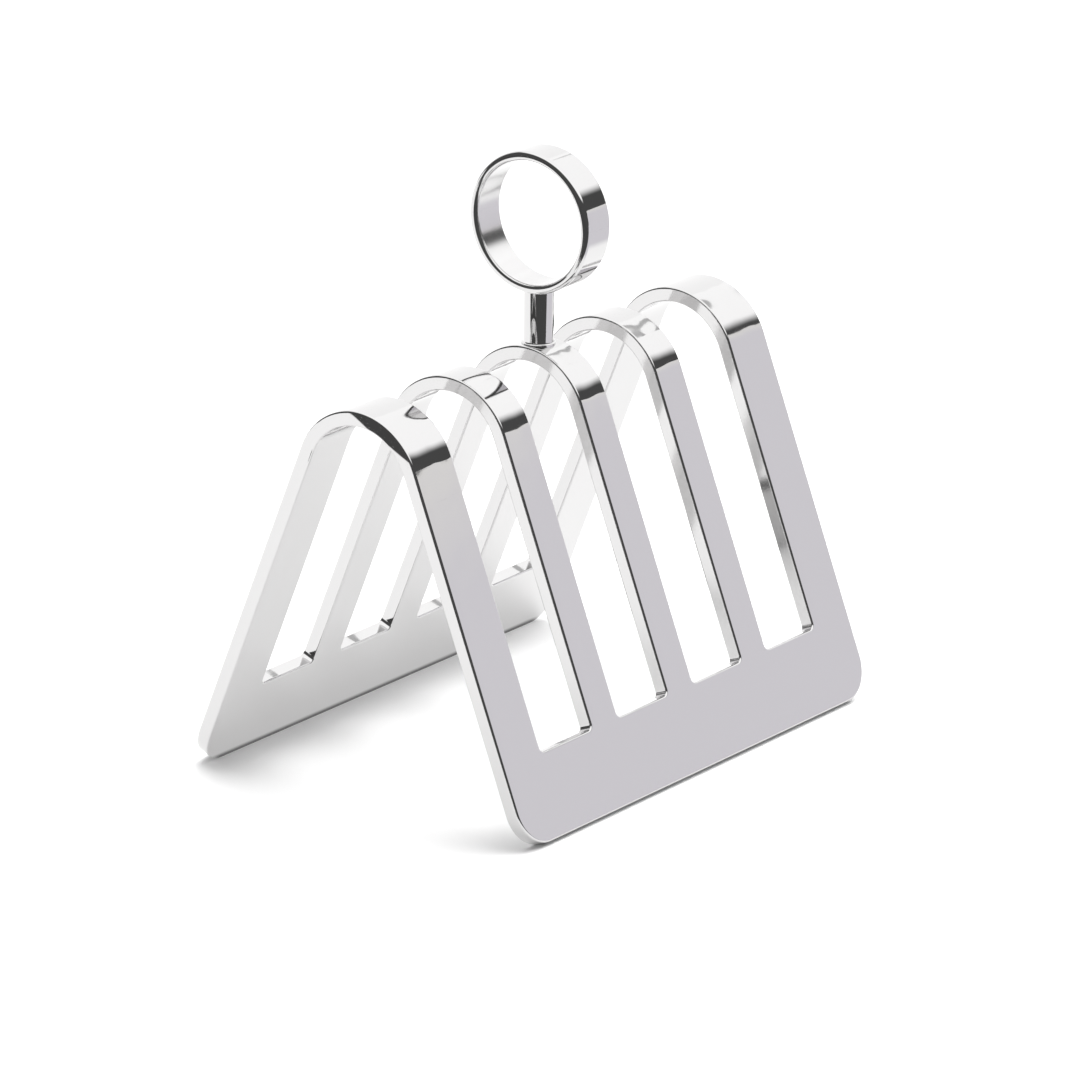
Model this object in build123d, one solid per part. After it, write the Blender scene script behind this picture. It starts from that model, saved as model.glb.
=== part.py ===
from build123d import *
import math
import os

# A toast rack: one bent, slotted plate, with a stem and a ring handle on its middle arch.
# The origin is on the table, under the middle of the rack. +X runs along the rack, -Y is
# its front and +Z is up. All sizes are in millimetres, and angles in degrees.

# ---------------------------------------------------------------- the bent plate
rack_length = 154.0        # along the row of arches
crown_height = 106.9       # table to the top of the arches
plate_thickness = 4.0
leg_angle = 21.6           # each leg, from upright
crown_radius = 19.5        # outside of the bend
end_arch_width = 16.0      # first and last arch
middle_arch_width = 11.3   # each arch between them
slot_count = 4             # one slice of toast in each, a slot between two arches
band_height = 21.9         # foot of a leg to the bottom of a slot, up the leg
foot_corner_radius = 10.0  # lower corners of the plate, in its plane
slot_corner_radius = 1.5   # lower corners of a slot
plate_arris = 0.5          # rounding of all the plate's edges
foot_grind = 0.23          # taken off under each foot, so that it stands on a flat

# ---------------------------------------------------------------- the handle
stem_diameter = 8.0
stem_length = 14.2         # crown to the underside of the ring
stem_flare = 0.5           # the stem's foot spreads by this much, in a small hollow curve
flare_rim = 0.15           # crown to the lower end of that curve
ring_diameter = 38.0
ring_wall = 2.5
ring_width = 10.5
ring_arris = 1.0
spigot_diameter = 4.0      # on the stem's head, through the ring's wall
braze_gap = 0.05           # round the spigot, on the radius

# ---------------------------------------------------------------- the fixing screw
screw_diameter = 4.0
screw_grip = 7.0           # length inside the stem
screw_head_diameter = 7.6
screw_head_recess = 0.2    # head below the underside of the crown
screw_hole_gap = 0.25      # round the screw in the plate, on the radius
screw_thread_gap = 0.05    # round the screw in the stem, on the radius
screw_tip_gap = 1.0        # hole left past the screw's tip
socket_width = 2.5         # across flats
socket_depth = 1.3
screw_tip_bevel = 0.5

# ---------------------------------------------------------------- worked out from those
slots_length = rack_length - 2 * end_arch_width - (slot_count - 1) * middle_arch_width
slot_width = slots_length / slot_count
bend_centre_z = crown_height - crown_radius
inner_radius = crown_radius - plate_thickness
underside_z = crown_height - plate_thickness
stem_top_z = crown_height + stem_length
ring_centre_z = stem_top_z + ring_diameter / 2
ring_inner_radius = ring_diameter / 2 - ring_wall
stem_tap_depth = screw_grip + screw_tip_gap
screw_head_z = underside_z + screw_head_recess
overcut = 2.0              # how far a cutting tool runs past a face

lean = math.radians(leg_angle)
up_leg = Vector(0, math.sin(lean), math.cos(lean))               # up the front leg
out_leg = Vector(0, -math.cos(lean), math.sin(lean))             # out of the front leg
bend_centre = Vector(0, 0, bend_centre_z)

# A foot stands on its inner edge, which is rounded and then ground flat at z = 0.
rounding_centre_z = plate_arris - foot_grind
foot_edge_z = rounding_centre_z - plate_arris * (up_leg.Z + out_leg.Z)   # if it were sharp
inner_tangent = bend_centre + out_leg * inner_radius
leg_length = (inner_tangent.Z - foot_edge_z) / up_leg.Z
inner_foot = inner_tangent - up_leg * leg_length
outer_foot = inner_foot + out_leg * plate_thickness


def to_back(point):
    """The same point on the back leg."""
    return Vector(point.X, -point.Y, point.Z)


def slot_centres():
    """The middle of each slot along the rack."""
    first = -rack_length / 2 + end_arch_width + slot_width / 2
    return [first + i * (slot_width + middle_arch_width) for i in range(slot_count)]


def along_x(face, length):
    """A face in the YZ plane, made solid to both sides of it."""
    return extrude(face, amount=length / 2, dir=(1, 0, 0), both=True)


def bent_blank():
    """The plate, bent but with no slots, square at its ends."""
    outer_tangent = bend_centre + out_leg * crown_radius
    outer_top = bend_centre + Vector(0, 0, crown_radius)
    inner_top = bend_centre + Vector(0, 0, inner_radius)
    outline = [
        Line(outer_foot, outer_tangent),
        ThreePointArc(outer_tangent, outer_top, to_back(outer_tangent)),
        Line(to_back(outer_tangent), to_back(outer_foot)),
        Line(to_back(outer_foot), to_back(inner_foot)),
        Line(to_back(inner_foot), to_back(inner_tangent)),
        ThreePointArc(to_back(inner_tangent), inner_top, inner_tangent),
        Line(inner_tangent, inner_foot),
        Line(inner_foot, outer_foot),
    ]
    return along_x(make_face(Wire(outline)), rack_length)


def through_plate(edge):
    """Whether a straight edge runs square through the thickness of a leg."""
    if edge.geom_type != GeomType.LINE:
        return False
    way = edge.tangent_at(0.5)
    return abs(abs(way.Z) - out_leg.Z) < 1e-3 and abs(abs(way.Y) + out_leg.Y) < 1e-3


def slot_tool():
    """What one slot removes: both legs down to the band, and the crown between them."""
    band_inner = inner_foot + up_leg * band_height - out_leg * overcut
    band_outer = outer_foot + up_leg * band_height + out_leg * overcut
    above = crown_height + overcut
    corners = [
        band_inner,
        band_outer,
        Vector(0, band_outer.Y, above),
        Vector(0, -band_outer.Y, above),
        to_back(band_outer),
        to_back(band_inner),
    ]
    tool = along_x(make_face(Polyline(*corners, close=True)), slot_width)
    return fillet(tool.edges().filter_by(through_plate), radius=slot_corner_radius)


def smooth_seam(edge):
    """Whether an edge only divides two faces that run on smoothly into each other."""
    along = edge.geom_type == GeomType.LINE and abs(edge.tangent_at(0.5).X) > 0.999
    tangent_heights = [(bend_centre + out_leg * r).Z for r in (crown_radius, inner_radius)]
    return along and min(abs(edge.center().Z - z) for z in tangent_heights) < 1e-3


def screw_outline(shank_radius, tip):
    """Half the side view of a 90 degree countersunk screw, or of the hole for one."""
    head_radius = screw_head_diameter / 2
    cone_top_z = screw_head_z + head_radius - shank_radius
    return [(0, screw_head_z), (head_radius, screw_head_z), (shank_radius, cone_top_z)] + tip


def turned(points):
    """A solid turned about the Z axis from half of its side view."""
    profile = Plane.XZ * make_face(Polyline(*points, close=True))
    return revolve(profile, axis=Axis.Z)


def cylinder_up(radius, z_low, z_high):
    """A round bar on the Z axis."""
    return Pos(0, 0, (z_low + z_high) / 2) * Cylinder(radius, z_high - z_low)


def cylinder_across(radius, z, length):
    """A round bar along X, at a height."""
    return Pos(0, 0, z) * Rot(0, 90, 0) * Cylinder(radius, length)


def make_rack_body():
    """The slotted, bent plate with its edges rounded and its feet ground flat."""
    body = bent_blank()
    body = fillet(body.edges().filter_by(through_plate), radius=foot_corner_radius)
    for x in slot_centres():
        body -= Pos(x, 0, 0) * slot_tool()
    sharp = [e for e in body.edges() if not through_plate(e) and not smooth_seam(e)]
    body = fillet(sharp, radius=plate_arris)
    below_table = Box(2 * rack_length, 2 * rack_length, crown_height)
    body -= Pos(0, 0, -crown_height / 2) * below_table
    hole_radius = screw_diameter / 2 + screw_hole_gap
    above = crown_height + overcut
    body -= turned(screw_outline(hole_radius, [(hole_radius, above), (0, above)]))
    return body - cylinder_up(screw_head_diameter / 2, underside_z - overcut, screw_head_z)


def flared_foot():
    """The stem's foot, spread by a hollow quarter curve above a short straight rim."""
    narrow = stem_diameter / 2
    wide = narrow + stem_flare
    rim_z = crown_height + flare_rim
    hollow_z = rim_z + stem_flare
    middle = stem_flare * math.sqrt(0.5)
    outline = [
        ThreePointArc((narrow, 0, hollow_z), (wide - middle, 0, hollow_z - middle), (wide, 0, rim_z)),
        Line((wide, 0, rim_z), (wide, 0, bend_centre_z)),
        Line((wide, 0, bend_centre_z), (0, 0, bend_centre_z)),
        Line((0, 0, bend_centre_z), (0, 0, hollow_z)),
        Line((0, 0, hollow_z), (narrow, 0, hollow_z)),
    ]
    return revolve(make_face(Wire(outline)), axis=Axis.Z)


def make_handle_stem():
    """A round bar, coped to the crown below and to the ring above, with a spigot and a tapped hole."""
    stem = cylinder_up(stem_diameter / 2, bend_centre_z, ring_centre_z) + flared_foot()
    stem -= cylinder_across(crown_radius, bend_centre_z, 2 * stem_diameter)
    stem -= cylinder_across(ring_diameter / 2, ring_centre_z, 2 * stem_diameter)
    spigot = cylinder_up(spigot_diameter / 2, stem_top_z - overcut, ring_centre_z)
    spigot -= cylinder_across(ring_inner_radius, ring_centre_z, 2 * stem_diameter)
    tapped = cylinder_up(screw_diameter / 2 + screw_thread_gap, bend_centre_z,
                         crown_height + stem_tap_depth)
    return stem + spigot - tapped


def make_handle_ring():
    """A short band of tube along X with rounded edges, drilled for the spigot."""
    ring = cylinder_across(ring_diameter / 2, ring_centre_z, ring_width)
    ring -= cylinder_across(ring_inner_radius, ring_centre_z, ring_width)
    rims = ring.edges().filter_by(GeomType.CIRCLE)
    ring = fillet(rims, radius=ring_arris)
    return ring - cylinder_up(spigot_diameter / 2 + braze_gap, stem_top_z - overcut, ring_centre_z)


def make_handle_screw():
    """A countersunk socket screw, head down, up through the crown into the stem."""
    tip_z = crown_height + screw_grip
    shank = screw_diameter / 2
    bevel = [(shank, tip_z - screw_tip_bevel), (shank - screw_tip_bevel, tip_z)]
    screw = turned(screw_outline(shank, bevel + [(0, tip_z)]))
    key = RegularPolygon(socket_width / 2, 6, major_radius=False)
    socket = extrude(Pos(0, 0, screw_head_z) * key, amount=socket_depth)
    return screw - socket


pieces = {
    "rack_body": make_rack_body(),
    "handle_stem": make_handle_stem(),
    "handle_ring": make_handle_ring(),
    "handle_screw": make_handle_screw(),
}

os.makedirs("parts", exist_ok=True)
for name, piece in pieces.items():
    piece.label = name
    export_step(piece, f"parts/{name}.step")
    box = piece.bounding_box()
    print(name, "solids", len(piece.solids()), "volume", round(piece.volume, 1),
          "size", [round(v, 2) for v in box.size])
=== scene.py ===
"""A polished toast rack: one bent, slotted plate with a stem and a ring handle.

Everything is in metres, in the frame's own axes: X along the rack, -Y its front, Z up.
"""

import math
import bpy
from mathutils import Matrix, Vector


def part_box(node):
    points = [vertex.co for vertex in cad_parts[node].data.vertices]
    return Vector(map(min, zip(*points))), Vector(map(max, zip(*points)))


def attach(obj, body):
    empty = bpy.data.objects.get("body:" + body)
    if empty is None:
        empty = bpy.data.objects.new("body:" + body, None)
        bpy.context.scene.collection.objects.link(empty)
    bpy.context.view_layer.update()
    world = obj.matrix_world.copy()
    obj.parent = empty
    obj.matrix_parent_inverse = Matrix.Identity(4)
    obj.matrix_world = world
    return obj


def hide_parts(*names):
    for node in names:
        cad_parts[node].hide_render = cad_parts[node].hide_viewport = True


bl_info = {
    "name": "Toast Rack",
    "version": (1, 0, 0),
    "blender": (4, 5, 0),
    "location": "View3D > Sidebar > Toast Rack",
    "description": "Builds a polished steel toast rack with a ring handle around its frame",
    "category": "Object",
}

import bmesh
import bpy
from bpy.props import FloatProperty, FloatVectorProperty, IntProperty, PointerProperty
from mathutils import Matrix, Vector

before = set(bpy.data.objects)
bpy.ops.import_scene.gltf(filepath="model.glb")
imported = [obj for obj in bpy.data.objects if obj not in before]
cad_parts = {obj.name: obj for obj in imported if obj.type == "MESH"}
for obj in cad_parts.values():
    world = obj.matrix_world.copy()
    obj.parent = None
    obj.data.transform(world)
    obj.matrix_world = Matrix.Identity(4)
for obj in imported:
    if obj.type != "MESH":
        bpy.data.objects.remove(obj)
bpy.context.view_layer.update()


def node_box(node):
    """The lowest and highest corners of one piece of the frame."""
    low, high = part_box(node)
    return Vector(low), Vector(high)


BODY_LOW, BODY_HIGH = node_box("rack_body")
RING_LOW, RING_HIGH = node_box("handle_ring")
STEM_LOW, STEM_HIGH = node_box("handle_stem")
SCREW_LOW, SCREW_HIGH = node_box("handle_screw")
RING_CENTRE = (RING_LOW + RING_HIGH) / 2
RING_RADIUS = (RING_HIGH.z - RING_LOW.z) / 2


# ------------------------------------------------------------------ sizes and colours
class PlateSizes(bpy.types.PropertyGroup):
    """The bent plate."""

    thickness: FloatProperty(
        name="Thickness", description="Thickness of the plate", default=0.004,
        unit="LENGTH", subtype="DISTANCE")
    leg_angle: FloatProperty(
        name="Leg angle", description="Lean of each leg from upright",
        default=math.radians(21.6), subtype="ANGLE")
    crown_radius: FloatProperty(
        name="Crown radius", description="Outside radius of the bend", default=0.0195,
        unit="LENGTH", subtype="DISTANCE")
    end_arch: FloatProperty(
        name="End arches", description="Width of the first and last arch", default=0.016,
        unit="LENGTH", subtype="DISTANCE")
    middle_arch: FloatProperty(
        name="Middle arches", description="Width of each arch between them", default=0.0113,
        unit="LENGTH", subtype="DISTANCE")
    slots: IntProperty(
        name="Slots", description="How many slices the rack holds", default=4)
    band: FloatProperty(
        name="Band", description="Foot of a leg to the bottom of a slot", default=0.0219,
        unit="LENGTH", subtype="DISTANCE")
    foot_corner: FloatProperty(
        name="Foot corners", description="Radius of the plate's lower corners", default=0.010,
        unit="LENGTH", subtype="DISTANCE")
    slot_corner: FloatProperty(
        name="Slot corners", description="Radius of a slot's lower corners", default=0.0015,
        unit="LENGTH", subtype="DISTANCE")
    arris: FloatProperty(
        name="Arris", description="Rounding of the plate's edges", default=0.0005,
        unit="LENGTH", subtype="DISTANCE")
    foot_grind: FloatProperty(
        name="Foot grind", description="Taken off under each foot", default=0.00023,
        unit="LENGTH", subtype="DISTANCE")
    bend_steps: IntProperty(
        name="Bend steps", description="Cross cuts over the crown", default=60)


class HandleSizes(bpy.types.PropertyGroup):
    """The ring and its stem."""

    ring_wall: FloatProperty(
        name="Ring wall", description="Thickness of the ring's band", default=0.0025,
        unit="LENGTH", subtype="DISTANCE")
    ring_arris: FloatProperty(
        name="Ring arris", description="Rounding of the ring's rims", default=0.001,
        unit="LENGTH", subtype="DISTANCE")
    flare: FloatProperty(
        name="Stem flare", description="How far the stem's foot spreads, in a hollow curve",
        default=0.0005, unit="LENGTH", subtype="DISTANCE")
    flare_rim: FloatProperty(
        name="Flare rim", description="Crown to the lower end of the hollow curve",
        default=0.00015, unit="LENGTH", subtype="DISTANCE")
    screw_hole: FloatProperty(
        name="Screw hole", description="Radius of the screw's hole in the plate",
        default=0.00225, unit="LENGTH", subtype="DISTANCE")


class FinishColours(bpy.types.PropertyGroup):
    """The steel's finish."""

    steel: FloatVectorProperty(
        name="Steel", description="Colour of the polished steel", subtype="COLOR", size=3,
        min=0.0, max=1.0, default=(0.66, 0.655, 0.655))
    screw: FloatVectorProperty(
        name="Screw", description="Colour of the plain screw", subtype="COLOR", size=3,
        min=0.0, max=1.0, default=(0.50, 0.49, 0.48))
    floor: FloatVectorProperty(
        name="Floor", description="Colour of the floor", subtype="COLOR", size=3,
        min=0.0, max=1.0, default=(0.90, 0.90, 0.90))
    card: FloatVectorProperty(
        name="Grey card", description="Colour of the card the front reflects",
        subtype="COLOR", size=3, min=0.0, max=4.0, default=(0.88, 0.86, 0.91))


class StudioSizes(bpy.types.PropertyGroup):
    """The camera and the light."""

    azimuth: FloatProperty(
        name="Azimuth", description="Camera's turn about the rack, from its front",
        default=math.radians(-53.79), subtype="ANGLE")
    elevation: FloatProperty(
        name="Elevation", description="Camera's height angle",
        default=math.radians(18.61), subtype="ANGLE")
    roll: FloatProperty(
        name="Roll", description="Camera's tilt", default=math.radians(0.68), subtype="ANGLE")
    distance: FloatProperty(
        name="Distance", description="Camera to its aim point", default=2.145,
        unit="LENGTH", subtype="DISTANCE")
    aim_across: FloatProperty(
        name="Aim across", description="Aim point, to the right of the rack's centre",
        default=0.0016, unit="LENGTH", subtype="DISTANCE")
    aim_up: FloatProperty(
        name="Aim up", description="Aim point, above the rack's base", default=0.0503,
        unit="LENGTH", subtype="DISTANCE")
    lens: FloatProperty(
        name="Lens", description="Focal length on a 36 mm sensor, in millimetres",
        default=270.8)
    dome: FloatProperty(
        name="Dome", description="Strength of the soft light round the back", default=1.12)
    lamp: FloatProperty(
        name="Lamp", description="Strength of the large soft light above", default=3.7)
    overhead: FloatProperty(
        name="Overhead", description="Strength of the overhead light in reflections",
        default=1.37)
    backdrop: FloatProperty(
        name="Backdrop", description="Strength of the backdrop in reflections", default=1.27)


PROPERTY_GROUPS = {
    "rack_plate": PlateSizes,
    "rack_handle": HandleSizes,
    "rack_finish": FinishColours,
    "rack_studio": StudioSizes,
}


# ------------------------------------------------------------------ modelling helpers
X, Z = 0, 2                         # an axis's place in a direction
BORDER = 0.00004                    # width of the border that keeps a flat face flat to the eye
TOUCH = 1e-6                        # points closer than this are one point
SMOOTH_BELOW = math.radians(20)     # between faces that read as one surface
SQUARE = 0.999                      # most of a normal is on an axis: its face is square to it
ALONG = 0.01                        # and almost none: its face lies along it
FACING = 0.9                        # enough of a normal to tell which way its face looks


def only(obj):
    """Selects one object and makes it the active one."""
    if bpy.context.mode != "OBJECT":
        bpy.ops.object.mode_set(mode="OBJECT")
    bpy.ops.object.select_all(action="DESELECT")
    obj.select_set(True)
    bpy.context.view_layer.objects.active = obj
    return obj


def settle(obj):
    """Puts an object's place, turn and size into its mesh."""
    only(obj)
    bpy.ops.object.transform_apply(location=True, rotation=True, scale=True)
    return obj


def added(name):
    """Names the object that was just added."""
    obj = bpy.context.object
    obj.name = name
    obj.data.name = name
    return obj


def edit(obj, domain="FACE"):
    """Opens an object in edit mode with nothing selected."""
    only(obj)
    bpy.ops.object.mode_set(mode="EDIT")
    bpy.ops.mesh.select_mode(type=domain)
    bpy.ops.mesh.select_all(action="DESELECT")


def pick(obj, wanted, domain="FACE"):
    """In edit mode, selects the faces or edges for which wanted() is true."""
    bpy.ops.mesh.select_mode(type=domain)
    bpy.ops.mesh.select_all(action="DESELECT")
    mesh = bmesh.from_edit_mesh(obj.data)
    items = mesh.faces if domain == "FACE" else mesh.edges
    count = 0
    for item in items:
        if wanted(item):
            item.select_set(True)
            count += 1
    bmesh.update_edit_mesh(obj.data)
    if not count:
        raise RuntimeError(f"nothing to select on {obj.name}")


def edge_middle(edge):
    """The point halfway along an edge."""
    return (edge.verts[0].co + edge.verts[1].co) / 2


def flat_or_wall(axis):
    """Picks the faces square to an axis or along it, and not the rounded ones between them."""
    def wanted(face):
        share = abs(face.normal[axis])
        return share > SQUARE or share < ALONG
    return wanted


def apply_modifier(obj, kind, **settings):
    """Adds one modifier with its settings and applies it."""
    only(obj)
    modifier = obj.modifiers.new(kind.title(), kind)
    for key, value in settings.items():
        setattr(modifier, key, value)
    bpy.ops.object.modifier_apply(modifier=modifier.name)


def cut_with(obj, tool):
    """Cuts one solid out of another and throws the cutter away."""
    apply_modifier(obj, "BOOLEAN", operation="DIFFERENCE", solver="EXACT", object=tool)
    bpy.data.objects.remove(tool)


def smooth(obj):
    """Shades faces that meet at a small angle as one surface."""
    only(obj)
    bpy.ops.object.shade_smooth_by_angle(angle=SMOOTH_BELOW)


def give(obj, material):
    """Makes this the object's only material."""
    obj.data.materials.clear()
    obj.data.materials.append(material)


# ------------------------------------------------------------------ the bent plate
FOOT_CORNER_STEPS = 14
SLOT_CORNER_STEPS = 8
ARRIS_STEPS = 5
COUNTERSINK_SIDES = 48
COUNTERSINK_MOUTH = 0.002           # how far the cutter stands out of the plate at each end


def flat_outline(name, across, along, x, radius, steps):
    """A rectangle lying flat, its corners rounded, as an outline with no face."""
    bpy.ops.mesh.primitive_plane_add(size=1, location=(x, 0, 0))
    obj = added(name)
    obj.scale = (across, along, 1)
    settle(obj)
    edit(obj, "VERT")
    bpy.ops.mesh.select_all(action="SELECT")
    bpy.ops.mesh.bevel(offset=radius, segments=steps, affect="VERTICES", clamp_overlap=False)
    bpy.ops.mesh.select_all(action="SELECT")
    bpy.ops.mesh.delete(type="ONLY_FACE")
    bpy.ops.object.mode_set(mode="OBJECT")
    return obj


def bend_centre(plate):
    """Height of the line that the plate is bent round."""
    return BODY_HIGH.z - plate.crown_radius


def developed(plate):
    """The flat plate's length in one leg and in its bend, and the angle that it is bent by."""
    lean = plate.leg_angle
    inner_radius = plate.crown_radius - plate.thickness
    edge_z = plate.arris - plate.foot_grind - plate.arris * (math.cos(lean) + math.sin(lean))
    leg = (bend_centre(plate) + inner_radius * math.sin(lean) - edge_z) / math.cos(lean)
    turn = math.pi - 2 * lean
    bend = (plate.crown_radius - plate.thickness / 2) * turn
    return leg, bend, turn


def flat_plate(plate):
    """The slotted plate before it is bent, with its edges already rounded."""
    leg, bend, _ = developed(plate)
    length = BODY_HIGH.x - BODY_LOW.x
    along = 2 * leg + bend
    edge = plate.arris
    outlines = [flat_outline("plate_outline", length - 2 * edge, along - 2 * edge, 0,
                             plate.foot_corner - edge, FOOT_CORNER_STEPS)]
    free = length - 2 * plate.end_arch - (plate.slots - 1) * plate.middle_arch
    slot = free / plate.slots
    first = BODY_LOW.x + plate.end_arch + slot / 2
    for i in range(plate.slots):
        x = first + i * (slot + plate.middle_arch)
        outlines.append(flat_outline("slot_outline", slot + 2 * edge,
                                     along - 2 * plate.band + 2 * edge, x,
                                     plate.slot_corner + edge, SLOT_CORNER_STEPS))
    only(outlines[0])
    for outline in outlines[1:]:
        outline.select_set(True)
    bpy.ops.object.join()
    bpy.ops.object.convert(target="CURVE")
    curve = bpy.context.object
    curve.data.dimensions = "2D"
    curve.data.fill_mode = "BOTH"
    curve.data.extrude = plate.thickness / 2 - edge
    curve.data.bevel_depth = edge
    curve.data.bevel_resolution = ARRIS_STEPS
    bpy.ops.object.convert(target="MESH")
    body = added("folded_plate")
    edit(body)
    bpy.ops.mesh.select_all(action="SELECT")
    bpy.ops.mesh.remove_doubles(threshold=TOUCH)
    bpy.ops.mesh.normals_make_consistent(inside=False)
    return body


class RACK_OT_body(bpy.types.Operator):
    """Cuts the slotted plate, bends it into an A and grinds its feet flat"""

    bl_idname = "rack.body"
    bl_label = "Bent plate"

    def execute(self, context):
        plate = context.scene.rack_plate
        handle = context.scene.rack_handle
        leg, bend, turn = developed(plate)
        body = flat_plate(plate)
        pick(body, flat_or_wall(Z))
        bpy.ops.mesh.inset(thickness=BORDER, use_boundary=True, use_even_offset=True)
        for i in range(plate.bend_steps + 1):
            bpy.ops.mesh.select_all(action="SELECT")
            row = bend * (i / plate.bend_steps - 0.5)
            bpy.ops.mesh.bisect(plane_co=(0, row, 0), plane_no=(0, 1, 0), threshold=TOUCH)
        only(body)
        body.rotation_euler = (math.pi / 2, 0, 0)
        settle(body)
        start = leg / (2 * leg + bend)
        apply_modifier(body, "SIMPLE_DEFORM", deform_method="BEND", deform_axis="X",
                       angle=turn, limits=(start, 1 - start))
        body.rotation_euler = (-math.pi / 2, 0, 0)
        body.location = (0, 0, BODY_HIGH.z - plate.thickness / 2)
        settle(body)
        edit(body)
        bpy.ops.mesh.select_all(action="SELECT")
        bpy.ops.mesh.bisect(plane_co=(0, 0, 0), plane_no=(0, 0, 1), clear_inner=True,
                            use_fill=True, threshold=TOUCH)
        only(body)
        cut_with(body, countersink(handle))
        smooth(body)
        give(body, polished_steel("polished_plate", context.scene.rack_finish.steel,
                                  PLATE_WAVES, cut_edges))
        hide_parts("rack_body")
        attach(body, "root")
        return {"FINISHED"}


def countersink(handle):
    """The shape of the screw's hole through the middle arch, as a cutter."""
    head = (SCREW_HIGH.x - SCREW_LOW.x) / 2
    mouth = COUNTERSINK_MOUTH
    bpy.ops.mesh.primitive_cylinder_add(
        vertices=COUNTERSINK_SIDES, radius=head, depth=mouth,
        location=(0, 0, SCREW_LOW.z - mouth / 2))
    tool = settle(added("countersink"))
    edit(tool)
    pick(tool, lambda face: face.normal.z > FACING)
    cone = head - handle.screw_hole
    bpy.ops.mesh.extrude_region_move(TRANSFORM_OT_translate={"value": (0, 0, cone)})
    shrink = handle.screw_hole / head
    bpy.ops.transform.resize(value=(shrink, shrink, 1), center_override=(0, 0, SCREW_LOW.z + cone))
    rise = BODY_HIGH.z + mouth - SCREW_LOW.z - cone
    bpy.ops.mesh.extrude_region_move(TRANSFORM_OT_translate={"value": (0, 0, rise)})
    return only(tool)


# ------------------------------------------------------------------ the handle
RING_SIDES = 160
RING_ARRIS_STEPS = 7
SHARP = 1                           # radians between the faces at a rim's corner
STEM_SIDES = 96
FLARE_STEPS = 8
COPE_SIDES = 360


class RACK_OT_ring(bpy.types.Operator):
    """Turns the ring, a short band of tube with rounded rims"""

    bl_idname = "rack.ring"
    bl_label = "Ring"

    def execute(self, context):
        handle = context.scene.rack_handle
        width = RING_HIGH.x - RING_LOW.x
        bpy.ops.mesh.primitive_cylinder_add(
            vertices=RING_SIDES, radius=RING_RADIUS, depth=width, location=RING_CENTRE,
            rotation=(0, math.pi / 2, 0))
        ring = settle(added("finger_ring"))
        edit(ring)
        pick(ring, lambda face: abs(face.normal.x) > FACING)
        bpy.ops.mesh.inset(thickness=handle.ring_wall, use_even_offset=True)
        bpy.ops.mesh.delete(type="FACE")

        def on_end(edge):
            return abs(abs((edge_middle(edge) - RING_CENTRE).x) - width / 2) < TOUCH

        pick(ring, lambda edge: on_end(edge) and len(edge.link_faces) == 1, "EDGE")
        bpy.ops.mesh.bridge_edge_loops()
        pick(ring, lambda edge: on_end(edge) and edge.calc_face_angle(0) > SHARP, "EDGE")
        bpy.ops.mesh.bevel(offset=handle.ring_arris, segments=RING_ARRIS_STEPS,
                           affect="EDGES", clamp_overlap=False)
        pick(ring, flat_or_wall(X))
        bpy.ops.mesh.inset(thickness=BORDER, use_even_offset=True)
        bpy.ops.mesh.select_all(action="SELECT")
        bpy.ops.mesh.normals_make_consistent(inside=False)
        smooth(ring)
        give(ring, polished_steel("polished_ring", context.scene.rack_finish.steel,
                                  RING_WAVES, finger_hole(RING_RADIUS - handle.ring_wall)))
        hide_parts("handle_ring")
        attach(ring, "root")
        return {"FINISHED"}


def cope(radius, z):
    """A long round bar along X, to cut the stem's foot or head to a curve."""
    bpy.ops.mesh.primitive_cylinder_add(
        vertices=COPE_SIDES, radius=radius, depth=4 * (STEM_HIGH.x - STEM_LOW.x),
        location=(0, 0, z), rotation=(0, math.pi / 2, 0))
    return settle(added("cope"))


class RACK_OT_stem(bpy.types.Operator):
    """Cuts the stem from round bar and copes its foot and head"""

    bl_idname = "rack.stem"
    bl_label = "Stem"

    def execute(self, context):
        plate = context.scene.rack_plate
        handle = context.scene.rack_handle
        wide = (STEM_HIGH.x - STEM_LOW.x) / 2
        radius = wide - handle.flare
        hollow = BODY_HIGH.z + handle.flare_rim + handle.flare
        bottom, top = STEM_LOW.z - radius, RING_LOW.z + radius
        bpy.ops.mesh.primitive_cylinder_add(
            vertices=STEM_SIDES, radius=radius, depth=top - hollow,
            location=(0, 0, (top + hollow) / 2))
        stem = settle(added("ring_stem"))
        edit(stem)
        pick(stem, lambda face: face.normal.z < -FACING)
        reach = [(radius, hollow)]
        for i in range(1, FLARE_STEPS + 1):
            angle = math.pi / 2 * i / FLARE_STEPS
            reach.append((wide - handle.flare * math.cos(angle),
                          hollow - handle.flare * math.sin(angle)))
        reach.append((wide, bottom))
        for (r_was, z_was), (r, z) in zip(reach, reach[1:]):
            bpy.ops.mesh.extrude_region_move(TRANSFORM_OT_translate={"value": (0, 0, z - z_was)})
            bpy.ops.transform.resize(value=(r / r_was, r / r_was, 1), center_override=(0, 0, z))
        for z in (hollow + BORDER, RING_LOW.z - BORDER):
            bpy.ops.mesh.select_all(action="SELECT")
            bpy.ops.mesh.bisect(plane_co=(0, 0, z), plane_no=(0, 0, 1), threshold=TOUCH)
        only(stem)
        cut_with(stem, cope(plate.crown_radius, bend_centre(plate)))
        cut_with(stem, cope(RING_RADIUS, RING_CENTRE.z))
        smooth(stem)
        give(stem, polished_steel("polished_stem", context.scene.rack_finish.steel, 0.0))
        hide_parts("handle_stem")
        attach(stem, "root")
        return {"FINISHED"}


class RACK_OT_screw(bpy.types.Operator):
    """Gives the frame's own screw its plain turned finish"""

    bl_idname = "rack.screw"
    bl_label = "Screw"

    def execute(self, context):
        give(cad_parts["handle_screw"], screw_steel(context.scene.rack_finish.screw))
        return {"FINISHED"}


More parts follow.
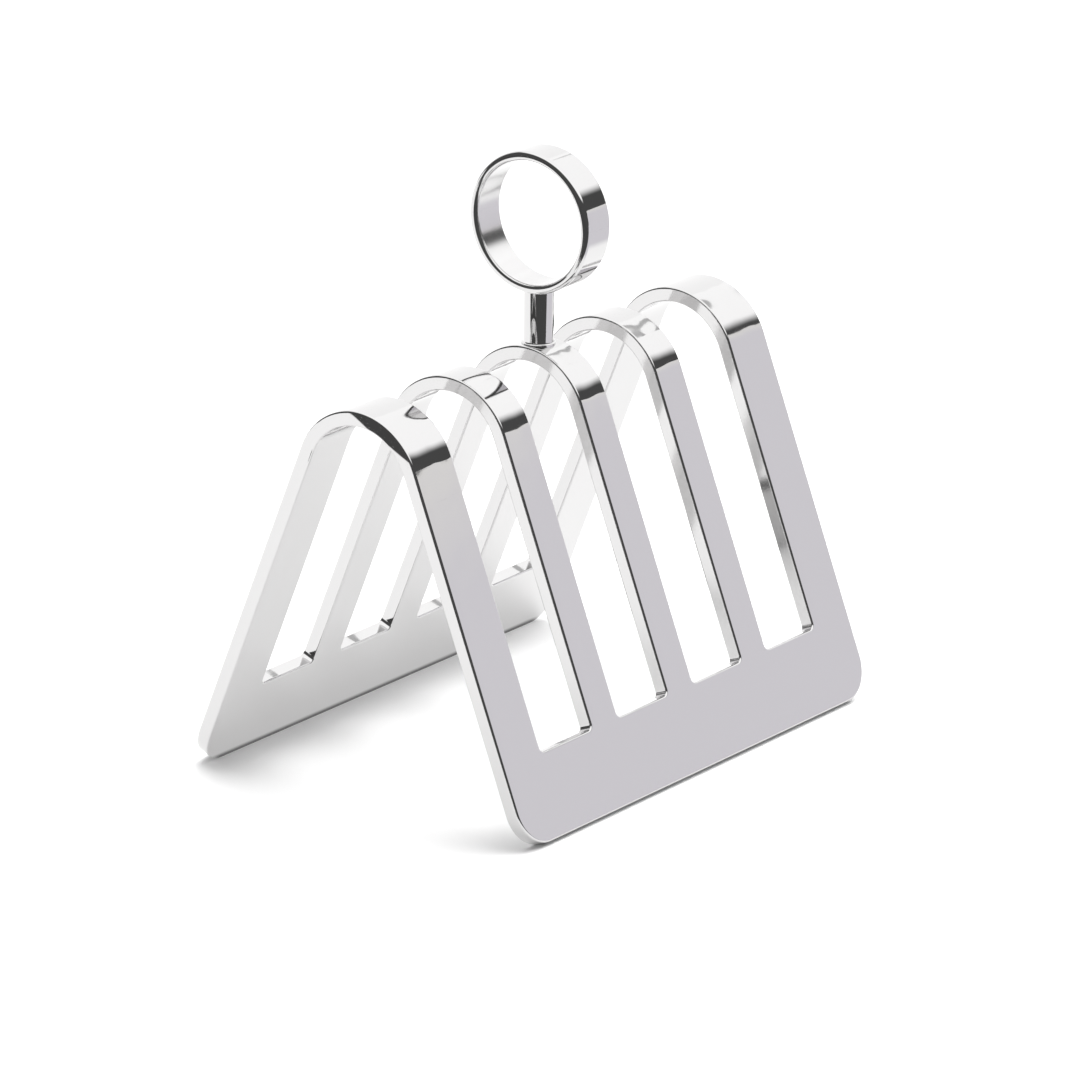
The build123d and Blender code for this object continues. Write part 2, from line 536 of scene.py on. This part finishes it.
# ------------------------------------------------------------------ finishes
PLATE_WAVES = 1e-4                  # height of the slow waves that bending leaves
RING_WAVES = 1e-5                   # and of those in the turned ring
WAVES_OFF_CROWN, WAVES_ON_CROWN = 0.6, 1.7
CROWN = (0.080, 0.100)              # heights where the waves begin to grow and are full
WAVE_GRAIN = 85                     # each grain is a pattern's number of spots in a metre
CLEAN, SMUDGED = 0.028, 0.06        # how rough the polished steel is
SMUDGE_GRAIN = 55
SMUDGE_SPOTS = (0.38, 0.72)         # spots are where a pattern's value is between these
BUFFING = (90, 2400, 2400)          # grain of the buffing lines, which run along the rack
BUFFING_TURN = (0.04, 0.0, 0.07)
BUFFING_HEIGHT = 1.5e-7
HAIRS = (70, 3000, 3000)            # grain of the hair scratches, and of others across them
HAIRS_TURN = (0.3, 0.5, 0.9)
CROSSED = (80, 2600, 2600)
CROSSED_TURN = (-0.2, 0.9, -0.6)
HAIR_LINES = (0.70, 0.78)
HAIR_ROUGHNESS = 0.05
HAIR_DEPTH = -2.5e-7
SCUFFED = (0.0004, 0.002)           # heights between which the scuffs on the feet end
SCUFF_ROUGHNESS = 0.16
SCUFF_GRAIN = 900
GROUND = (0.90, 0.995)              # how far a face looks along the rack to count as ground
GROUND_BUMP = 0.06                  # what is left of the waves on a ground face
SLOT_SIDES, RACK_ENDS = 0.03, -0.022    # how much rougher than the plate each is
RACK_END = (0.002, 0.0006)          # how far from the rack's end its own finish begins, is full
BORE_ROUGHNESS, BORE_EDGE = 0.15, 0.0008
TURNED_RING = 0.00018               # from one turned ring on the screw to the next
TURNED_HEIGHT = 2e-6
STAIN_GRAIN = 700
STAIN_SPOTS = (0.35, 0.7)
STAIN_SHADE = 0.75
SCREW_ROUGHNESS = (0.22, 0.38)      # clean and stained


def new_material(name):
    """A new material and its shader."""
    material = bpy.data.materials.new(name)
    material.use_nodes = True
    return material, material.node_tree.nodes["Principled BSDF"]


class Nodes:
    """Short ways to add the nodes that the finishes and the stage share."""

    def __init__(self, tree):
        self.nodes, self.links = tree.nodes, tree.links

    def add(self, kind, **settings):
        node = self.nodes.new(kind)
        for key, value in settings.items():
            setattr(node, key, value)
        return node

    def feed(self, socket, value):
        if isinstance(value, bpy.types.NodeSocket):
            self.links.new(value, socket)
        else:
            socket.default_value = value

    def maths(self, kind, first, second=0.0):
        node = self.add("ShaderNodeMath", operation=kind)
        self.feed(node.inputs[0], first)
        self.feed(node.inputs[1], second)
        return node.outputs[0]

    def ramp(self, value, limits, ends=(0, 1)):
        """Goes smoothly from the first of ends to the second, between the value's limits."""
        node = self.add("ShaderNodeMapRange", interpolation_type="SMOOTHSTEP")
        for socket, number in zip(node.inputs, (value, *limits, *ends)):
            self.feed(socket, number)
        return node.outputs[0]

    def vectors(self, kind, first, second=(0, 0, 0), result="Vector"):
        node = self.add("ShaderNodeVectorMath", operation=kind)
        self.feed(node.inputs[0], first)
        self.feed(node.inputs[1], second)
        return node.outputs[result]

    def dot(self, vector, way):
        return self.vectors("DOT_PRODUCT", vector, way, "Value")

    def radius(self, spot, centre, across):
        """How far a spot is from a line through centre; across is 0 along it and 1 across."""
        offset = self.vectors("SUBTRACT", spot, centre)
        return self.vectors("LENGTH", self.vectors("MULTIPLY", offset, across), result="Value")

    def mix(self, amount, first, second, kind="RGBA"):
        node = self.add("ShaderNodeMix", data_type=kind)
        first_socket, second_socket = (6, 7) if kind == "RGBA" else (2, 3)
        self.feed(node.inputs[0], amount)
        self.feed(node.inputs[first_socket], first)
        self.feed(node.inputs[second_socket], second)
        return node.outputs[2 if kind == "RGBA" else 0]

    def place(self, scale=(1, 1, 1), turn=(0, 0, 0)):
        """The piece's own coordinates, stretched and turned."""
        where = self.add("ShaderNodeTexCoord")
        mapping = self.add("ShaderNodeMapping")
        self.feed(mapping.inputs["Vector"], where.outputs["Object"])
        mapping.inputs["Rotation"].default_value = turn
        mapping.inputs["Scale"].default_value = scale
        return mapping.outputs[0]

    def noise(self, vector, scale, detail):
        node = self.add("ShaderNodeTexNoise")
        self.feed(node.inputs["Vector"], vector)
        node.inputs["Scale"].default_value = scale
        node.inputs["Detail"].default_value = detail
        return node.outputs[0]

    def bump(self, height, distance, strength=1.0):
        node = self.add("ShaderNodeBump")
        self.feed(node.inputs["Strength"], strength)
        node.inputs["Distance"].default_value = distance
        self.feed(node.inputs["Height"], height)
        return node.outputs[0]


def on_edges(make):
    """1 on faces across the rack's length, which were cut and ground, and 0 along it."""
    facing = make.dot(make.add("ShaderNodeNewGeometry").outputs["Normal"], (1, 0, 0))
    return make.maths("ABSOLUTE", facing)


def polished_steel(name, colour, waviness, duller=None):
    """Mirror-polished steel: slow waves, faint buffing lines, hair scratches, scuffed feet.

    duller(make, spot) says how much rougher the less polished places are."""
    material, shader = new_material(name)
    shader.inputs["Metallic"].default_value = 1.0
    shader.inputs["Base Color"].default_value = (*colour, 1.0)
    make = Nodes(material.node_tree)
    spot = make.place()
    smudges = make.ramp(make.noise(spot, SMUDGE_GRAIN, 3), SMUDGE_SPOTS, (CLEAN, SMUDGED))
    buffing = make.noise(make.place(BUFFING, BUFFING_TURN), 1, 2)
    hairs = make.noise(make.place(HAIRS, HAIRS_TURN), 1, 1)
    crossed = make.noise(make.place(CROSSED, CROSSED_TURN), 1, 1)
    hairs = make.ramp(make.maths("MAXIMUM", hairs, crossed), HAIR_LINES)
    height = make.dot(spot, (0, 0, 1))
    scuffs = make.maths("MULTIPLY", make.ramp(height, SCUFFED, (SCUFF_ROUGHNESS, 0)),
                        make.noise(spot, SCUFF_GRAIN, 3))
    rough = make.maths("ADD", smudges, make.maths("MULTIPLY", hairs, HAIR_ROUGHNESS))
    rough = make.maths("ADD", rough, scuffs)
    if duller:
        rough = make.maths("ADD", rough, duller(make, spot))
    make.feed(shader.inputs["Roughness"], rough)
    waves = make.maths("MULTIPLY", make.noise(spot, WAVE_GRAIN, 1), waviness)
    waves = make.maths("MULTIPLY", waves,
                       make.ramp(height, CROWN, (WAVES_OFF_CROWN, WAVES_ON_CROWN)))
    fine = make.maths("ADD", make.maths("MULTIPLY", buffing, BUFFING_HEIGHT),
                      make.maths("MULTIPLY", hairs, HAIR_DEPTH))
    flatness = make.ramp(on_edges(make), GROUND, (1, GROUND_BUMP))
    bump = make.bump(make.maths("ADD", waves, fine), 1.0, flatness)
    make.feed(shader.inputs["Normal"], bump)
    return material


def cut_edges(make, spot):
    """The slots' cut sides are ground and less bright; the rack's two ends are a mirror."""
    along = make.maths("ABSOLUTE", make.dot(spot, (1, 0, 0)))
    limits = [BODY_HIGH.x - inwards for inwards in RACK_END]
    change = make.ramp(along, limits, (SLOT_SIDES, RACK_ENDS))
    return make.maths("MULTIPLY", make.ramp(on_edges(make), GROUND), change)


def finger_hole(inside):
    """The ring's bore, where the buffing wheel can't reach well."""
    def duller(make, spot):
        radius = make.radius(spot, RING_CENTRE, (0, 1, 1))
        return make.ramp(radius, (inside, inside + BORE_EDGE), (BORE_ROUGHNESS, 0))
    return duller


def screw_steel(colour):
    """Plain steel with the fine rings that turning leaves, and a dull spot here and there."""
    material, shader = new_material("screw_steel")
    shader.inputs["Metallic"].default_value = 1.0
    make = Nodes(material.node_tree)
    spot = make.place()
    stains = make.ramp(make.noise(spot, STAIN_GRAIN, 3), STAIN_SPOTS)
    dull = tuple(STAIN_SHADE * c for c in colour)
    make.feed(shader.inputs["Base Color"], make.mix(stains, (*colour, 1), (*dull, 1)))
    make.feed(shader.inputs["Roughness"], make.ramp(stains, (0, 1), SCREW_ROUGHNESS))
    radius = make.radius(spot, (0, 0, 0), (1, 1, 0))
    rings = make.maths("SINE", make.maths("MULTIPLY", radius, 2 * math.pi / TURNED_RING))
    make.feed(shader.inputs["Normal"], make.bump(rings, TURNED_HEIGHT))
    return material


# ------------------------------------------------------------------ the studio
# A direction is its angle round from +X and its height angle, in degrees, and a light's edge is
# the cosines of the angles from its direction where it begins and is full.
OVERHEAD, OVERHEAD_EDGE = (-32, 78), (0.535, 0.65)
BACKDROP, BACKDROP_EDGE = (41, 0), (0.43, 0.50)
LAMP, LAMP_EDGE = (6, 58), (0.68, 0.92)
DOME_DIM_SIDE, DOME_EDGE = (216, 0), (-0.2, 0.7)
DOME_DIMMED = 0.1                   # what is left of the dome on its dim side
UNLIT = 0.085                       # what the dark parts of the room give in a reflection
LAMP_ON_FLOOR = 0.30                # how much of its strength the lamp gives to a level floor
DOME_ON_FLOOR = 0.69                # and the dome, which is dimmer on the camera's side

MATT = 0.9                          # roughness of paper and paint
FLOOR_SIZE = 12
TABLE_SIZE, TABLE_RISE = 3.2, 0.00005
PAPER_WHITE = 1.31                  # what the white paper sends to a reflection
PAPER_GLOW = 0.40                   # how much of that is its own light
PAPER_FRONT = (-0.18, -0.115)       # where it fades from grey to white, before the rack
ROOM_SIDE, ROOM_EDGE = 212.81, (0.1741, 0.1746)     # where it ends, and the dark room begins
# what the dark room gives, and also the colour of the painted shadow under each foot
DARK_ROOM_AND_FOOT_SHADOW = 0.076
FOOT_INSIDE = (0.0500, 0.0510)      # the painted contact shadow, a dark line under each foot
FOOT_OUTSIDE = (0.0545, 0.0555)
FOOT_ENDS = (0.068, 0.073)
FOOT_SHADE = 0.8

CARD_SIZE = (0.228, 0.60)
CARD_TURN = math.radians(20)
CARD_OUT, CARD_ASIDE, CARD_HEIGHT = 0.295, 0.60, 0.114
CARD_TOP = (1.0, 0.985, 0.965)
CARD_PALER = (0.180, 0.235)         # heights between which the card turns paler
FRAME_SIZE = (0.04, 0.65)
FRAME_PLACE = (1.4, 0.125, 1.184)
FRAME_GREY = 0.6

SENSOR_WIDTH = 36.0
FAR_CLIP = 100.0


def toward(azimuth, elevation):
    """A direction, from its angle round from +X and its height angle, in degrees."""
    a, e = math.radians(azimuth), math.radians(elevation)
    return math.cos(e) * math.cos(a), math.cos(e) * math.sin(a), math.sin(e)


def view_axes(studio):
    """The camera's right, up and backward directions."""
    a, e = studio.azimuth, studio.elevation
    back = Vector((math.sin(a) * math.cos(e), -math.cos(a) * math.cos(e), math.sin(e)))
    right = Vector((math.cos(a), math.sin(a), 0))
    up = back.cross(right)
    tilt = Matrix.Rotation(studio.roll, 3, back)
    return tilt @ right, tilt @ up, back


def add_camera(studio):
    """A long lens that looks at the rack from its front left."""
    right, up, back = view_axes(studio)
    data = bpy.data.cameras.new("camera")
    camera = bpy.data.objects.new("camera", data)
    bpy.context.collection.objects.link(camera)
    data.lens = studio.lens
    data.sensor_width = SENSOR_WIDTH
    data.sensor_fit = "HORIZONTAL"
    data.clip_end = FAR_CLIP
    turn = Matrix((right, up, back)).transposed()
    place = right * studio.aim_across + up * studio.aim_up + back * studio.distance
    camera.matrix_world = Matrix.Translation(place) @ turn.to_4x4()
    bpy.context.scene.camera = camera


def stage_plane(name, size, place, turn, material):
    """A flat sheet that is part of the stage."""
    bpy.ops.mesh.primitive_plane_add(size=1, location=place, rotation=turn)
    plane = added(name)
    plane.scale = (*size, 1)
    settle(plane)
    give(plane, material)
    return plane


def seen_in_reflections_only(obj):
    """Hides a sheet from everything but the rack's reflections."""
    obj.visible_camera = False
    obj.visible_diffuse = False
    obj.visible_shadow = False
    obj.visible_transmission = False


def plain_paint(name, colour):
    """Matt paint of one colour."""
    material, shader = new_material(name)
    shader.inputs["Base Color"].default_value = (*colour, 1.0)
    shader.inputs["Roughness"].default_value = MATT
    shader.inputs["Specular IOR Level"].default_value = 0.0
    return material


def table_paper(studio, finish):
    """White paper that partly glows, grey before the rack, dark by the camera, and with a painted
    contact shadow in a line under each foot.
    """
    material, shader = new_material("table_paper")
    shader.inputs["Roughness"].default_value = MATT
    shader.inputs["Specular IOR Level"].default_value = 0.0
    make = Nodes(material.node_tree)
    spot = make.place()
    depth = make.dot(spot, (0, 1, 0))
    colour = make.mix(make.ramp(depth, PAPER_FRONT), (*finish.card, 1), (*[PAPER_WHITE] * 3, 1))
    room = make.ramp(make.dot(spot, toward(ROOM_SIDE, 0)), ROOM_EDGE)
    colour = make.mix(room, colour, (*[DARK_ROOM_AND_FOOT_SHADOW] * 3, 1))
    across = make.maths("ABSOLUTE", depth)
    along = make.maths("ABSOLUTE", make.dot(spot, (1, 0, 0)))
    # painted contact shadow: the paper is darkened in a line under each foot, where the rack
    # shades it
    painted_foot_shadow = make.maths("MULTIPLY", make.ramp(across, FOOT_INSIDE, (0, FOOT_SHADE)),
                            make.ramp(across, FOOT_OUTSIDE, (1, 0)))
    painted_foot_shadow = make.maths("MULTIPLY", painted_foot_shadow, make.ramp(along, FOOT_ENDS, (1, 0)))
    colour = make.mix(painted_foot_shadow, colour, (*[DARK_ROOM_AND_FOOT_SHADOW] * 3, 1))
    floor_light = DOME_ON_FLOOR * studio.dome + LAMP_ON_FLOOR * studio.lamp
    painted = make.vectors("MULTIPLY", colour, [(1 - PAPER_GLOW) / floor_light] * 3)
    make.feed(shader.inputs["Base Color"], painted)
    make.feed(shader.inputs["Emission Color"], colour)
    shader.inputs["Emission Strength"].default_value = PAPER_GLOW
    return material


def glowing(name, colour, top=None):
    """A light of one colour, or one that turns to a second colour at its top."""
    material = bpy.data.materials.new(name)
    material.use_nodes = True
    material.node_tree.nodes.clear()
    make = Nodes(material.node_tree)
    emission = make.add("ShaderNodeEmission")
    colour = (*colour, 1)
    if top:
        height = make.dot(make.place(), (0, 0, 1))
        colour = make.mix(make.ramp(height, CARD_PALER), colour, (*top, 1))
    make.feed(emission.inputs["Color"], colour)
    make.feed(make.add("ShaderNodeOutputMaterial").inputs["Surface"], emission.outputs[0])
    return material


def soft_world(studio):
    """A lamp and a dome light the floor and the rack, and reflections see two bright places.

    To the camera itself the world is plain white."""
    world = bpy.data.worlds.new("studio")
    bpy.context.scene.world = world
    world.use_nodes = True
    world.node_tree.nodes.clear()
    make = Nodes(world.node_tree)
    output = make.add("ShaderNodeOutputWorld")
    way = make.add("ShaderNodeTexCoord").outputs["Generated"]
    rays = make.add("ShaderNodeLightPath")

    def light(direction, edge, ends):
        return make.ramp(make.dot(way, toward(*direction)), edge, ends)

    overhead = light(OVERHEAD, OVERHEAD_EDGE, (UNLIT, studio.overhead))
    backdrop = light(BACKDROP, BACKDROP_EDGE, (UNLIT, studio.backdrop))
    lamp = light(LAMP, LAMP_EDGE, (0, studio.lamp))
    dome = light(DOME_DIM_SIDE, DOME_EDGE, (studio.dome, DOME_DIMMED * studio.dome))
    reflected = make.maths("MAXIMUM", overhead, backdrop)
    shed = make.maths("ADD", lamp, dome)
    strength = make.mix(rays.outputs["Is Glossy Ray"], shed, reflected, "FLOAT")
    strength = make.mix(rays.outputs["Is Camera Ray"], strength, 1.0, "FLOAT")
    background = make.add("ShaderNodeBackground")
    background.inputs["Color"].default_value = (1, 1, 1, 1)
    make.feed(background.inputs["Strength"], strength)
    make.feed(output.inputs["Surface"], background.outputs[0])


class RACK_OT_studio(bpy.types.Operator):
    """Sets the pale floor, the reflection cards, the soft light and the camera"""

    bl_idname = "rack.studio"
    bl_label = "Studio"

    def execute(self, context):
        studio = context.scene.rack_studio
        finish = context.scene.rack_finish
        floor = stage_plane("floor", (FLOOR_SIZE, FLOOR_SIZE), (0, 0, 0), (0, 0, 0),
                            plain_paint("floor_paper", finish.floor))
        floor.visible_glossy = False
        table = stage_plane("table_in_reflections", (TABLE_SIZE, TABLE_SIZE),
                            (0, 0, TABLE_RISE), (0, 0, 0), table_paper(studio, finish))
        seen_in_reflections_only(table)

        out = Vector((math.cos(CARD_TURN), math.sin(CARD_TURN), 0))
        aside = Vector((out.y, -out.x, 0))
        place = out * CARD_OUT + aside * CARD_ASIDE + Vector((0, 0, CARD_HEIGHT))
        card = stage_plane("grey_card", CARD_SIZE, place, (0, math.pi / 2, CARD_TURN),
                           glowing("grey_card", finish.card, CARD_TOP))
        seen_in_reflections_only(card)

        bar = stage_plane("light_frame", FRAME_SIZE, FRAME_PLACE, (0, math.pi / 2, 0),
                          glowing("light_frame", [FRAME_GREY] * 3))
        seen_in_reflections_only(bar)
        soft_world(studio)
        add_camera(studio)
        context.scene.view_settings.view_transform = "Standard"
        return {"FINISHED"}


# ------------------------------------------------------------------ panel and registration
OPERATORS = [RACK_OT_body, RACK_OT_ring, RACK_OT_stem, RACK_OT_screw, RACK_OT_studio]


class RACK_PT_panel(bpy.types.Panel):
    """The toast rack's sizes and its steps"""

    bl_label = "Toast Rack"
    bl_idname = "RACK_PT_panel"
    bl_space_type = "VIEW_3D"
    bl_region_type = "UI"
    bl_category = "Toast Rack"

    def draw(self, context):
        layout = self.layout
        for key, group in PROPERTY_GROUPS.items():
            box = layout.box()
            box.label(text=group.__doc__)
            for field in group.__annotations__:
                box.prop(getattr(context.scene, key), field)
        for operator in OPERATORS:
            layout.operator(operator.bl_idname)


CLASSES = [*PROPERTY_GROUPS.values(), *OPERATORS, RACK_PT_panel]


def register():
    for cls in CLASSES:
        bpy.utils.register_class(cls)
    for key, group in PROPERTY_GROUPS.items():
        setattr(bpy.types.Scene, key, PointerProperty(type=group))


def unregister():
    for key in PROPERTY_GROUPS:
        delattr(bpy.types.Scene, key)
    for cls in reversed(CLASSES):
        bpy.utils.unregister_class(cls)


def main():
    """Builds every piece and the stage."""
    register()
    bpy.ops.rack.body()
    bpy.ops.rack.ring()
    bpy.ops.rack.stem()
    bpy.ops.rack.screw()
    bpy.ops.rack.studio()


if __name__ == "__main__":
    main()
